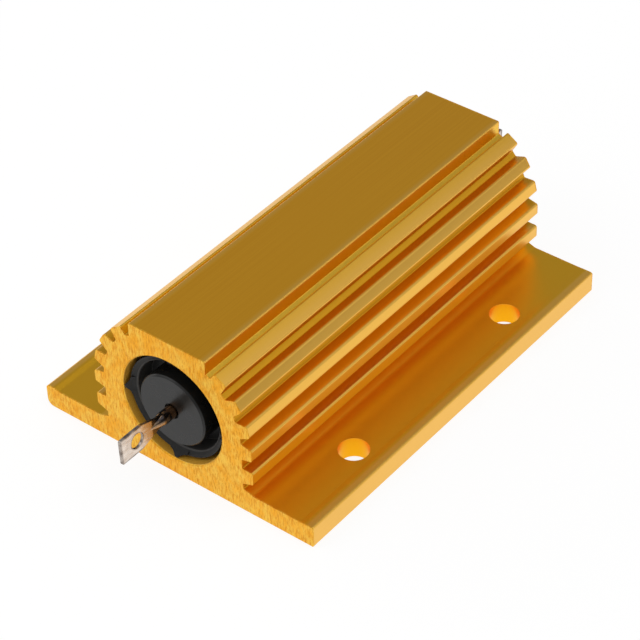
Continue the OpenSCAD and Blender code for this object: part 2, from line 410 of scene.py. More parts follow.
class Shelter(Effect):
    """Where a point of the extrusion lies: in a groove, a slot or a hole, or on a flange.

    Each range gives the distances in millimetres over which a mask rises or falls.

    Attributes:
        under_tips: Depth under the fin tips.
        under_top: Depth of the slots under the flat top.
        top_edge: Depth under the flat top at which a slot begins.
        floor_edge: Height over the mounting face at which the grooves begin.
        flange_edge: Distance from a flange's outer edge.
        flange_skin: Height over the flange's top at which its mask begins.
        flange_root: Height over the flange's top at which its mask has ended.
        flange_share: Largest value of the flange's mask.
        hole_foot: Height over the mounting face at which a hole begins.
        hole_mouth: Height over the flange's top at which a hole ends.
        hole_gap: Smallest distance between the fin tips and a hole.
    """

    name = "shelter"
    outputs = ("Groove", "Slot", "Flange", "Hole")
    inputs = (("Axis Height", 10.0), ("Tip Radius", 12.0), ("Top Height", 20.0),
              ("Half Width", 20.0), ("Flange Top", 3.0))
    under_tips: Range = (0.1, 0.7)
    under_top: Range = (2.2, 3.2)
    top_edge: Range = (0.04, 0.12)
    floor_edge: Range = (0.02, 0.08)
    flange_edge: Range = (0.9, 1.3)
    flange_skin: Range = (-0.1, -0.05)
    flange_root: Range = (2.5, 1.0)
    flange_share: float = 0.8
    hole_foot: Range = (0.02, 0.06)
    hole_mouth: Range = (-0.04, -0.12)
    hole_gap: float = 1.0

    def wire(self, wiring: Wiring, given: bpy.types.Node, made: bpy.types.Node) -> None:
        """Gives masks of the grooves, the slots, the flanges' tops and the holes.

        Args:
            wiring: The group's wiring.
            given: The group's inputs.
            made: The group's outputs.
        """
        across = wiring.math(Op.ABSOLUTE, wiring.coordinate(Axis.Y))
        height = wiring.coordinate(Axis.Z)
        above = wiring.minus(height, given.outputs["Axis Height"])
        depth = wiring.minus(given.outputs["Tip Radius"], wiring.length(across, above))
        deep = wiring.product(wiring.slide(depth, *self.under_tips),
                              wiring.slide(height, *self.floor_edge))
        under = wiring.minus(given.outputs["Top Height"], height)
        groove = wiring.product(deep, wiring.slide(under, *self.under_top))
        slot = wiring.product(deep, wiring.slide(under, *self.under_top, 1.0, 0.0),
                              wiring.slide(under, *self.top_edge))
        inside = wiring.slide(wiring.minus(given.outputs["Half Width"], across),
                              *self.flange_edge)
        over = wiring.minus(height, given.outputs["Flange Top"])
        low = wiring.product(wiring.slide(over, *self.flange_skin),
                             wiring.slide(over, *self.flange_root, 0.0, self.flange_share))
        wall = wiring.product(wiring.slide(height, *self.hole_foot),
                              wiring.slide(over, *self.hole_mouth))
        beyond = wiring.math(Op.GREATER, across,
                             wiring.total(given.outputs["Tip Radius"], self.hole_gap))
        for name, mask in (("Groove", groove), ("Slot", slot),
                           ("Flange", wiring.product(inside, low)),
                           ("Hole", wiring.product(wall, inside, beyond))):
            wiring.feed(made.inputs[name], mask)


@dataclass(frozen=True)
class Effects:
    """The shared effects, each built once.

    Attributes:
        noise: Noise that is stretched along the axes.
        end: Nearness to the ends.
        radius: Distance from the bore's axis.
        shelter: Masks of the extrusion's parts.
    """

    noise: StretchedNoise
    end: Effect
    radius: Effect
    shelter: Effect


# ---- sizes that the looks follow ------------------------------------------------


@dataclass(frozen=True)
class Proportions:
    """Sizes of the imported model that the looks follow, in millimetres.

    Attributes:
        half_length: Half the extrusion's length.
        half_width: Half its width over the flanges.
        top_height: Height of its flat top.
        flange_top: Height of the flanges between body and edge.
        axis_height: Height of the bore's axis over the mounting face.
        bore_radius: Radius of the bore.
        tip_radius: Distance from the axis to the fin tips.
        reach: Distance from the middle to a terminal's end.
        tag_half: Half the width of a terminal's tag.
        clear: Distance past the fin tips at which the flange is level.
    """

    half_length: float
    half_width: float
    top_height: float
    flange_top: float
    axis_height: float
    bore_radius: float
    tip_radius: float
    reach: float
    tag_half: float
    clear: ClassVar[float] = 1.0

    @classmethod
    def of_frame(cls) -> "Proportions":
        """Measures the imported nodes.

        Returns:
            The proportions.
        """
        housing = frame["nodes"]["housing"]
        places = [housing.matrix_world @ vertex.co / MM for vertex in housing.data.vertices]
        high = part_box("housing")[1] / MM
        fill_low, fill_high = (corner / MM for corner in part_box("filling"))
        tag_low, tag_high = (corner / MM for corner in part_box("terminal_2"))
        axis = (fill_low.z + fill_high.z) / 2
        tip = max(abs(place.y) for place in places if place.z > axis)
        flange_top = min(place.z for place in places if place.z > cls.clear
                         and tip + cls.clear < abs(place.y) < high.y - cls.clear)
        return cls(half_length=high.x, half_width=high.y, top_height=high.z,
                   flange_top=flange_top, axis_height=axis,
                   bore_radius=(fill_high.z - fill_low.z) / 2, tip_radius=tip,
                   reach=tag_high.x, tag_half=(tag_high.z - tag_low.z) / 2)


# ---- finishes -------------------------------------------------------------------


@dataclass(frozen=True)
class Finish:
    """A surface finish, as a material with a Principled BSDF.

    Attributes:
        slot: The record's material slot.
        colour: The main colour, linear.
        roughness: The main roughness.
        metallic: Metallic value.
    """

    slot: str
    colour: Colour
    roughness: float
    metallic: float = 0.0

    def build(self, effects: Effects) -> bpy.types.Material:
        """Makes the material.

        Args:
            effects: The shared effects.

        Returns:
            The finished material.
        """
        material = bpy.data.materials.new(f"{self.slot}_finish")
        material.use_nodes = True
        wiring = Wiring(material.node_tree)
        out = wiring.add("ShaderNodeOutputMaterial")
        shader = wiring.add("ShaderNodeBsdfPrincipled")
        for name, value in (("Metallic", self.metallic), ("Roughness", self.roughness),
                            ("Base Color", rgba(self.colour))):
            shader.inputs[name].default_value = value
        wiring.feed(out.inputs["Surface"], shader.outputs[0])
        self.texture(wiring, shader, effects)
        return material

    def texture(self, wiring: Wiring, shader: bpy.types.Node, effects: Effects) -> None:
        """Adds what varies over the surface.  Each finish has its own.

        Args:
            wiring: The material's wiring.
            shader: Its Principled BSDF.
            effects: The shared effects.
        """
        raise NotImplementedError

    @staticmethod
    def bump(wiring: Wiring, shader: bpy.types.Node, height: Socket, depth: float,
             under: "Socket | None" = None) -> Socket:
        """Adds relief from a height between 0 and 1.

        Args:
            wiring: The material's wiring.
            shader: Its Principled BSDF.
            height: The height.
            depth: What a height of 1 stands for, in metres.
            under: The normal of relief that lies under this one.

        Returns:
            The normal.
        """
        node = wiring.add("ShaderNodeBump")
        node.inputs["Distance"].default_value = depth
        wiring.feed(node.inputs["Height"], height)
        if under is not None:
            wiring.feed(node.inputs["Normal"], under)
        wiring.feed(shader.inputs["Normal"], node.outputs[0])
        return node.outputs[0]

    def rough_over(self, wiring: Wiring, noise: Socket, span: Range) -> Socket:
        """Varies the roughness with a noise.

        Args:
            wiring: The material's wiring.
            noise: The noise.
            span: How far the roughness falls and rises.

        Returns:
            The roughness.
        """
        return wiring.slide(noise, *NOISE_WIDE, *(self.roughness + step for step in span))


@dataclass(frozen=True, kw_only=True)
class GoldAnodised(Finish):
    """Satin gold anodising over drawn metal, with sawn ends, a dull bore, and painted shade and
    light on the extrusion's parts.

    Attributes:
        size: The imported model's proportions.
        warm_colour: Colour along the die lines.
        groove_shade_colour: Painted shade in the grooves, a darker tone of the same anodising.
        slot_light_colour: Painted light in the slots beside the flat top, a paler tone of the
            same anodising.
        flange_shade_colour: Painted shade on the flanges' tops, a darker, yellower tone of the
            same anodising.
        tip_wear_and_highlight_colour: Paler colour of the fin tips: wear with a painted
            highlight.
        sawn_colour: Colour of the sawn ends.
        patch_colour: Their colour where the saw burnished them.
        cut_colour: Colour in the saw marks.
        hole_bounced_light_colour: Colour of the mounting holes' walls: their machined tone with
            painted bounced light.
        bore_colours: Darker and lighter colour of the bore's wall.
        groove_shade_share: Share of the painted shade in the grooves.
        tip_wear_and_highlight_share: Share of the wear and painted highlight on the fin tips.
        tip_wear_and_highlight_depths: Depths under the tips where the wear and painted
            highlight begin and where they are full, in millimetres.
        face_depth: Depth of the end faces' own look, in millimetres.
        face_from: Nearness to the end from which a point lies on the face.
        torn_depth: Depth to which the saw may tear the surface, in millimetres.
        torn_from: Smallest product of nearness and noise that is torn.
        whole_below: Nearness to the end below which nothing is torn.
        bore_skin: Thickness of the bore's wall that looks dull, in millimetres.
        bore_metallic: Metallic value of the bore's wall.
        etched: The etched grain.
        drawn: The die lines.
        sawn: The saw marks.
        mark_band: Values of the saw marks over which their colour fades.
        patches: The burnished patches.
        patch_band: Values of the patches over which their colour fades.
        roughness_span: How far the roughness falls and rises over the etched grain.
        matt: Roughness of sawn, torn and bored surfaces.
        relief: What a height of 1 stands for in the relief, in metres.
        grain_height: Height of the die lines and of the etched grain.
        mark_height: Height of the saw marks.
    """

    slot: str = "gold_anodised"
    colour: Colour = (0.97, 0.49, 0.032)
    roughness: float = 0.33
    metallic: float = 1.0
    size: Proportions
    warm_colour: Colour = (0.92, 0.44, 0.026)
    # The groove, slot and flange colours are painted shade and light: other tones of the one
    # anodising.
    groove_shade_colour: Colour = (0.70, 0.345, 0.016)
    slot_light_colour: Colour = (0.93, 0.57, 0.06)
    flange_shade_colour: Colour = (0.88, 0.470, 0.010)
    tip_wear_and_highlight_colour: Colour = (0.94, 0.56, 0.12)
    sawn_colour: Colour = (1.0, 0.64, 0.09)
    patch_colour: Colour = (1.0, 0.50, 0.03)
    cut_colour: Colour = (0.78, 0.31, 0.01)
    hole_bounced_light_colour: Colour = (1.0, 0.46, 0.008)
    bore_colours: tuple[Colour, Colour] = ((0.88, 0.42, 0.03), (1.0, 0.56, 0.07))
    groove_shade_share: float = 0.6
    tip_wear_and_highlight_share: float = 0.7
    tip_wear_and_highlight_depths: Range = (0.5, 0.15)
    face_depth: float = 0.02
    face_from: float = 0.05
    torn_depth: float = 0.35
    torn_from: float = 0.25
    whole_below: float = 0.01
    bore_skin: float = 0.05
    bore_metallic: float = 0.15
    etched: Grain = Grain((7, 7, 7), detail=4)
    drawn: Grain = Grain((0.02, 6, 6), detail=4, roughness=0.6)
    sawn: Grain = Grain((3, 4, 0.9), detail=5, roughness=0.75)
    mark_band: Range = (0.36, 0.54)
    patches: Grain = Grain((0.6, 0.6, 0.35), detail=5, roughness=0.7)
    patch_band: Range = (0.4, 0.6)
    roughness_span: Range = (-0.03, 0.04)
    matt: float = 0.55
    relief: float = 0.012 * MM
    grain_height: float = 0.4
    mark_height: float = 5.0

    def texture(self, wiring: Wiring, shader: bpy.types.Node, effects: Effects) -> None:
        """Adds die lines, etched grain, the dull bore, and saw marks on the ends.

        Args:
            wiring: The material's wiring.
            shader: Its Principled BSDF.
            effects: The shared effects.
        """
        etched = effects.noise.of(wiring, self.etched)
        drawn = effects.noise.of(wiring, self.drawn)
        sawn = effects.noise.of(wiring, self.sawn)
        radius = effects.radius.use(wiring, axis_height=self.size.axis_height).outputs[0]
        bore = wiring.math(Op.LESS, radius, self.size.bore_radius + self.bore_skin)
        face = wiring.math(Op.GREATER, self.near_end(wiring, effects, self.face_depth),
                           self.face_from)
        edge = self.near_end(wiring, effects, self.torn_depth)
        torn = wiring.math(Op.GREATER, wiring.product(edge, sawn), self.torn_from)
        ends = wiring.largest(face, torn)

        body = self.body_colour(wiring, effects, drawn, radius, edge)
        wall = wiring.blend(wiring.slide(etched, *NOISE_MIDDLE), *self.bore_colours)
        body = wiring.blend(bore, body, wall)
        body = wiring.blend(ends, body, self.end_colour(wiring, effects, sawn))
        wiring.feed(shader.inputs["Base Color"], body)
        wiring.feed(shader.inputs["Metallic"],
                    wiring.slide(bore, 0.0, 1.0, self.metallic, self.bore_metallic))

        satin = self.rough_over(wiring, etched, self.roughness_span)
        matt = wiring.product(wiring.largest(ends, bore), self.matt)
        wiring.feed(shader.inputs["Roughness"], wiring.largest(satin, matt))

        lines = wiring.product(drawn, self.grain_height)
        grain = wiring.product(etched, self.grain_height)
        marks = wiring.product(sawn, face, self.mark_height)
        self.bump(wiring, shader, wiring.total(lines, grain, marks), self.relief)

    def near_end(self, wiring: Wiring, effects: Effects, reach: float) -> Socket:
        """Gives 1 at the sawn ends, falling to 0 at the reach, in millimetres."""
        end = effects.end.use(wiring, half_length=self.size.half_length, reach=reach)
        return end.outputs[0]

    def body_colour(self, wiring: Wiring, effects: Effects, drawn: Socket, radius: Socket,
                    edge: Socket) -> Socket:
        """Colours the drawn surface part by part: painted shade in the grooves and on the
        flanges, painted light in the slots and on the hole walls, and wear with a painted
        highlight on the fin tips.

        Returns:
            The colour.
        """
        size = self.size
        parts = effects.shelter.use(
            wiring, axis_height=size.axis_height, tip_radius=size.tip_radius,
            top_height=size.top_height, half_width=size.half_width,
            flange_top=size.flange_top).outputs
        # Fin tips paler: wear, with a painted highlight of their whiter reflection.
        tip_wear_and_highlight = wiring.slide(radius, *(size.tip_radius - depth for depth in self.tip_wear_and_highlight_depths))
        whole = wiring.math(Op.LESS, edge, self.whole_below)
        body = wiring.blend(wiring.slide(drawn, *NOISE_MIDDLE), self.warm_colour, self.colour)
        for mask, colour in (
                # Wear with a painted highlight on the fin tips.
                (wiring.product(tip_wear_and_highlight, self.tip_wear_and_highlight_share), self.tip_wear_and_highlight_colour),
                # Painted shade in the grooves, painted light in the slots, painted shade on the
                # flanges.
                (wiring.product(parts["Groove"], self.groove_shade_share), self.groove_shade_colour),
                (parts["Slot"], self.slot_light_colour),
                (parts["Flange"], self.flange_shade_colour),
                # Mounting hole walls: machined tone with painted bounced light, kept away from
                # the sawn ends.
                (wiring.product(parts["Hole"], whole), self.hole_bounced_light_colour)):
            body = wiring.blend(mask, body, colour)
        return body

    def end_colour(self, wiring: Wiring, effects: Effects, sawn: Socket) -> Socket:
        """Colours the sawn ends, with burnished patches.

        Args:
            wiring: The material's wiring.
            effects: The shared effects.
            sawn: The saw marks.

        Returns:
            The colour.
        """
        patchy = wiring.slide(effects.noise.of(wiring, self.patches), *self.patch_band)
        face = wiring.blend(patchy, self.patch_colour, self.sawn_colour)
        return wiring.blend(wiring.slide(sawn, *self.mark_band), self.cut_colour, face)


@dataclass(frozen=True, kw_only=True)
class BlackMoulding(Finish):
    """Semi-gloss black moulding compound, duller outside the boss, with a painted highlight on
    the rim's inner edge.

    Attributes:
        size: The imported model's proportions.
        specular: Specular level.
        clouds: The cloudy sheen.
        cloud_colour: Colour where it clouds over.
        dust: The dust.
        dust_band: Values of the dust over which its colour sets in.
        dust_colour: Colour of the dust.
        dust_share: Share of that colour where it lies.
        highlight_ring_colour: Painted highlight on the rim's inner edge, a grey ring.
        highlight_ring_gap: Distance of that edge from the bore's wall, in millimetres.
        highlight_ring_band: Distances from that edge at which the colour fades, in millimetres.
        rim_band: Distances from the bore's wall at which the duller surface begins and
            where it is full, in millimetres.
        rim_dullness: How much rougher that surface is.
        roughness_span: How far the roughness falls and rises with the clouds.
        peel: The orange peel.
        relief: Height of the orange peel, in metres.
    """

    slot: str = "black_moulding"
    colour: Colour = (0.006, 0.006, 0.006)
    roughness: float = 0.3
    size: Proportions
    specular: float = 0.33
    clouds: Grain = Grain((0.5, 0.5, 0.5), detail=5)
    cloud_colour: Colour = (0.014, 0.014, 0.013)
    dust: Grain = Grain((9, 9, 9))
    dust_band: Range = (0.66, 0.74)
    dust_colour: Colour = (0.06, 0.055, 0.05)
    dust_share: float = 0.5
    highlight_ring_colour: Colour = (0.075, 0.072, 0.068)
    highlight_ring_gap: float = 1.42
    highlight_ring_band: Range = (0.08, 0.20)
    rim_band: Range = (2.8, 2.4)
    rim_dullness: float = 0.25
    roughness_span: Range = (-0.05, 0.08)
    peel: Grain = Grain((3, 3, 3), detail=2)
    relief: float = 0.008 * MM

    def texture(self, wiring: Wiring, shader: bpy.types.Node, effects: Effects) -> None:
        """Adds fine orange peel, a cloudy sheen, a painted highlight on the rim's inner edge
        and a little dust.

        Args:
            wiring: The material's wiring.
            shader: Its Principled BSDF.
            effects: The shared effects.
        """
        bore = self.size.bore_radius
        radius = effects.radius.use(wiring, axis_height=self.size.axis_height).outputs[0]
        cloudy = effects.noise.of(wiring, self.clouds)
        # Painted highlight: a grey ring on the rim's inner edge.
        from_highlight_ring = wiring.math(Op.ABSOLUTE, wiring.minus(radius, bore - self.highlight_ring_gap))
        painted_highlight = wiring.slide(from_highlight_ring, *self.highlight_ring_band, 1.0, 0.0)
        dusty = wiring.slide(effects.noise.of(wiring, self.dust), *self.dust_band, 0.0,
                             self.dust_share)
        base = wiring.blend(cloudy, self.colour, self.cloud_colour)
        base = wiring.blend(painted_highlight, base, self.highlight_ring_colour)
        wiring.feed(shader.inputs["Base Color"], wiring.blend(dusty, base, self.dust_colour))

        dull = wiring.slide(radius, *(bore - gap for gap in self.rim_band), 0.0,
                            self.rim_dullness)
        rough = self.rough_over(wiring, cloudy, self.roughness_span)
        wiring.feed(shader.inputs["Roughness"], wiring.total(rough, dull))
        shader.inputs["Specular IOR Level"].default_value = self.specular
        self.bump(wiring, shader, effects.noise.of(wiring, self.peel), self.relief)


@dataclass(frozen=True, kw_only=True)
class TinnedMetal(Finish):
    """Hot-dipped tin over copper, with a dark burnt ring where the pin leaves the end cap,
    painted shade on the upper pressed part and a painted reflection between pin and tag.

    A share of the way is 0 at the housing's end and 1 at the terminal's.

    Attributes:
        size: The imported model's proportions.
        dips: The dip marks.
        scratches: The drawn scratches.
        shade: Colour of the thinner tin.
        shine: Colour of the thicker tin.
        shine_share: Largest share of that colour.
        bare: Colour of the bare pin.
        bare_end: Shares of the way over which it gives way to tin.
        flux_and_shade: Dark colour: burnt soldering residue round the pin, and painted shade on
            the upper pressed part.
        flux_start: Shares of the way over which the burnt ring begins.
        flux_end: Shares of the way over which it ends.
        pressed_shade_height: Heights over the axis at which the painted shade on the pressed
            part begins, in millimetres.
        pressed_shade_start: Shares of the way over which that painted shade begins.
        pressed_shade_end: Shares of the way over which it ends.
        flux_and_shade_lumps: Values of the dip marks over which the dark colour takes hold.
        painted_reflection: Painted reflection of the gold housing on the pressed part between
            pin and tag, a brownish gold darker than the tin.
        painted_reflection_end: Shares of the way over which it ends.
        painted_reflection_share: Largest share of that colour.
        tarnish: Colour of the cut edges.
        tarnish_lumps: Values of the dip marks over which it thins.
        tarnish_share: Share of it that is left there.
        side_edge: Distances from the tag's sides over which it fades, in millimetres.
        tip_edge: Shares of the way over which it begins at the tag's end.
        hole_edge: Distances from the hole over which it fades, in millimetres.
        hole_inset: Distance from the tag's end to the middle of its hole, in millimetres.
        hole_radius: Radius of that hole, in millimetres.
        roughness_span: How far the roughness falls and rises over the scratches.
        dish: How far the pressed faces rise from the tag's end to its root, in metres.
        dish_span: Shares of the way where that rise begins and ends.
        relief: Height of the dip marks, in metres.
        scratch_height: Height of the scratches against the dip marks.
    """

    slot: str = "tinned_metal"
    colour: Colour = (0.80, 0.70, 0.61)
    roughness: float = 0.27
    metallic: float = 1.0
    size: Proportions
    dips: Grain = Grain((0.9, 1.4, 1.4))
    scratches: Grain = Grain((0.7, 8, 8))
    shade: Colour = (0.56, 0.44, 0.35)
    shine: Colour = (0.88, 0.81, 0.75)
    shine_share: float = 0.5
    bare: Colour = (0.34, 0.18, 0.09)
    bare_end: Range = (0.10, 0.17)
    flux_and_shade: Colour = (0.035, 0.03, 0.03)
    flux_start: Range = (0.07, 0.10)
    flux_end: Range = (0.17, 0.22)
    pressed_shade_height: Range = (-0.1, 0.35)
    pressed_shade_start: Range = (0.10, 0.14)
    pressed_shade_end: Range = (0.30, 0.46)
    flux_and_shade_lumps: Range = (0.38, 0.50)
    painted_reflection: Colour = (0.50, 0.32, 0.16)
    painted_reflection_end: Range = (0.40, 0.62)
    painted_reflection_share: float = 0.85
    tarnish: Colour = (0.15, 0.12, 0.105)
    tarnish_lumps: Range = (0.3, 0.6)
    tarnish_share: float = 0.55
    side_edge: Range = (0.12, 0.30)
    tip_edge: Range = (0.965, 0.985)
    hole_edge: Range = (0.05, 0.22)
    hole_inset: float = 3.1
    hole_radius: float = 1.15
    roughness_span: Range = (-0.04, 0.06)
    dish: float = 0.9 * MM
    dish_span: Range = (1.0, 0.4)
    relief: float = 0.04 * MM
    scratch_height: float = 0.2

    def texture(self, wiring: Wiring, shader: bpy.types.Node, effects: Effects) -> None:
        """Adds dip marks, drawn scratches, a burnt ring, painted shade, a painted reflection,
        dull edges and the dished faces.

        Args:
            wiring: The material's wiring.
            shader: Its Principled BSDF.
            effects: The shared effects.
        """
        reach = self.size.reach
        lumps = effects.noise.of(wiring, self.dips)
        drawn = effects.noise.of(wiring, self.scratches)
        way = effects.end.use(wiring, half_length=reach,
                              reach=reach - self.size.half_length).outputs[0]
        above = wiring.minus(wiring.coordinate(Axis.Z), self.size.axis_height)

        tin = wiring.blend(wiring.slide(lumps, *NOISE_MIDDLE), self.shade, self.colour)
        shining = wiring.slide(drawn, *NOISE_MIDDLE, 0.0, self.shine_share)
        for mask, colour in (
                (shining, self.shine),
                # Painted reflection of the gold housing: brownish gold between pin and tag.
                (wiring.slide(way, *self.painted_reflection_end, self.painted_reflection_share, 0.0), self.painted_reflection),
                (self.cut_edges(wiring, way, above, lumps), self.tarnish),
                (wiring.slide(way, *self.bare_end, 1.0, 0.0), self.bare),
                # Burnt ring round the pin, and painted shade on the upper pressed part.
                (self.flux_and_painted_shade(wiring, way, above, lumps), self.flux_and_shade)):
            tin = wiring.blend(mask, tin, colour)
        wiring.feed(shader.inputs["Base Color"], tin)
        wiring.feed(shader.inputs["Roughness"],
                    self.rough_over(wiring, drawn, self.roughness_span))

        dished = self.bump(wiring, shader, wiring.slide(way, *self.dish_span), self.dish)
        height = wiring.total(lumps, wiring.product(drawn, self.scratch_height))
        self.bump(wiring, shader, height, self.relief, under=dished)

    def flux_and_painted_shade(self, wiring: Wiring, way: Socket, above: Socket, lumps: Socket) -> Socket:
        """Masks the dark colour: burnt soldering residue in a ring round the pin, and painted
        shade on the upper pressed part.

        Args:
            wiring: The material's wiring.
            way: Share of the way out.
            above: Height over the axis, in millimetres.
            lumps: The dip marks.

        Returns:
            The mask.
        """
        ring = wiring.product(wiring.slide(way, *self.flux_start),
                              wiring.slide(way, *self.flux_end, 1.0, 0.0))
        # Painted shade: the pressed part darker on its upper side.
        pressed = wiring.product(wiring.slide(above, *self.pressed_shade_height),
                                 wiring.slide(way, *self.pressed_shade_end, 1.0, 0.0),
                                 wiring.slide(way, *self.pressed_shade_start))
        return wiring.product(wiring.largest(ring, pressed),
                              wiring.slide(lumps, *self.flux_and_shade_lumps))

    def cut_edges(self, wiring: Wiring, way: Socket, above: Socket, lumps: Socket) -> Socket:
        """Masks the cut edges along the tag's sides, at its end and round its hole.

        Args:
            wiring: The material's wiring.
            way: Share of the way out.
            above: Height over the axis, in millimetres.
            lumps: The dip marks.

        Returns:
            The mask.
        """
        inside = wiring.minus(self.size.tag_half, wiring.math(Op.ABSOLUTE, above))
        past = wiring.minus(wiring.math(Op.ABSOLUTE, wiring.coordinate(Axis.X)),
                            self.size.reach - self.hole_inset)
        from_hole = wiring.minus(wiring.length(past, above), self.hole_radius)
        edges = wiring.largest(wiring.slide(inside, *self.side_edge, 1.0, 0.0),
                               wiring.slide(way, *self.tip_edge),
                               wiring.slide(from_hole, *self.hole_edge, 1.0, 0.0))
        thin = wiring.slide(lumps, *self.tarnish_lumps, 1.0, self.tarnish_share)
        return wiring.product(edges, thin)


@dataclass(frozen=True)
class PlainFinish(Finish):
    """A hidden piece's finish: colour and fine grain.

    Attributes:
        grain: The grain.
        shade: Share of the colour that is left in the hollows.
        relief: Depth of the grain.
    """

    grain: Grain = Grain((4, 4, 4))
    shade: float = 0.82
    relief: float = 0.02 * MM

    def texture(self, wiring: Wiring, shader: bpy.types.Node, effects: Effects) -> None:
        """Adds the grain.

        Args:
            wiring: The material's wiring.
            shader: Its Principled BSDF.
            effects: The shared effects.
        """
        grain = effects.noise.of(wiring, self.grain)
        darker = tuple(self.shade * channel for channel in self.colour)
        wiring.feed(shader.inputs["Base Color"], wiring.blend(grain, darker, self.colour))
        self.bump(wiring, shader, grain, self.relief)


def all_finishes(size: Proportions) -> list[Finish]:
    """Lists the finish of every slot.

    Args:
        size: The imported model's proportions.

    Returns:
        The finishes.
    """
    return [
        GoldAnodised(size=size),
        BlackMoulding(size=size),
        TinnedMetal(size=size),
        PlainFinish("ceramic", (0.72, 0.69, 0.62), 0.7),
        PlainFinish("cap_steel", (0.55, 0.55, 0.56), 0.35, 1.0),
        PlainFinish("resistance_wire", (0.30, 0.26, 0.23), 0.4, 1.0),
        PlainFinish("cement", (0.40, 0.37, 0.31), 0.8),
    ]


# ---- the object -----------------------------------------------------------------


@dataclass
class RefinedPiece:
    """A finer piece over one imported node, with its hard edges rounded off.

    Attributes:
        node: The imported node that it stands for.
        size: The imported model's proportions.
        edge_radius: Width of the rounding, in metres.
        segments: Steps across the rounding.
        sharp_from: Smallest angle of an edge that is rounded, in degrees.
        smooth_to: Largest angle of an edge that is shaded smooth, in degrees.
        face_weight: How much the large faces steer the shading, up to 100.
        join_within: Distance within which points are merged, in metres.
        flat_within: Angle within which faces count as one, in degrees.
    """

    node: bpy.types.Object
    size: Proportions
    edge_radius: float = 0.06 * MM
    segments: int = 2
    sharp_from: float = 28.0
    smooth_to: float = 30.0
    face_weight: int = 90
    join_within: float = 0.001 * MM
    flat_within: float = 0.5

    def build(self, slot: str, material: bpy.types.Material) -> bpy.types.Object:
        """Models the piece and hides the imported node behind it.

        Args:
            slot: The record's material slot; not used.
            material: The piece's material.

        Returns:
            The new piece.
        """
        piece = self.copy_merged()
        self.reshape(piece)
        self.round_edges()
        bpy.ops.object.shade_smooth_by_angle(angle=math.radians(self.smooth_to))
        bpy.ops.object.modifier_add(type="WEIGHTED_NORMAL")
        shading = piece.modifiers[-1]
        shading.keep_sharp = True
        shading.weight = self.face_weight
        bpy.ops.object.modifier_apply(modifier=shading.name)
        piece.data.materials.clear()
        piece.data.materials.append(material)
        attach(piece, "root")
        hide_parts(self.node.name)
        log.info("%s: %d faces", piece.name, len(piece.data.polygons))
        return piece

    def copy_merged(self) -> bpy.types.Object:
        """Copies the node's mesh, with its place in the mesh, and merges its points.

        Returns:
            The copy, selected and active.
        """
        bpy.ops.object.select_all(action="DESELECT")
        mesh = self.node.data.copy()
        mesh.transform(self.node.matrix_world)
        piece = bpy.data.objects.new(f"{self.node.name}_fine", mesh)
        bpy.context.scene.collection.objects.link(piece)
        piece.select_set(True)
        bpy.context.view_layer.objects.active = piece
        bpy.ops.object.mode_set(mode="EDIT")
        bpy.ops.mesh.select_all(action="SELECT")
        bpy.ops.mesh.remove_doubles(threshold=self.join_within)
        bpy.ops.mesh.dissolve_limited(angle_limit=math.radians(self.flat_within))
        bpy.ops.mesh.normals_make_consistent(inside=False)
        bpy.ops.mesh.select_mode(type="VERT")
        bpy.ops.mesh.select_all(action="DESELECT")
        bpy.ops.object.mode_set(mode="OBJECT")
        return piece

    def reshape(self, piece: bpy.types.Object) -> None:
        """Changes the piece's form before its edges are rounded.  Most keep theirs.

        Args:
            piece: The piece, selected and active.
        """

    def round_edges(self) -> None:
        """Rounds the hard edges of the active piece."""
        bpy.ops.object.mode_set(mode="EDIT")
        bpy.ops.mesh.select_mode(type="EDGE")
        bpy.ops.mesh.select_all(action="DESELECT")
        bpy.ops.mesh.edges_select_sharp(sharpness=math.radians(self.sharp_from))
        bpy.ops.mesh.bevel(offset=self.edge_radius, segments=self.segments, clamp_overlap=True)
        bpy.ops.object.mode_set(mode="OBJECT")


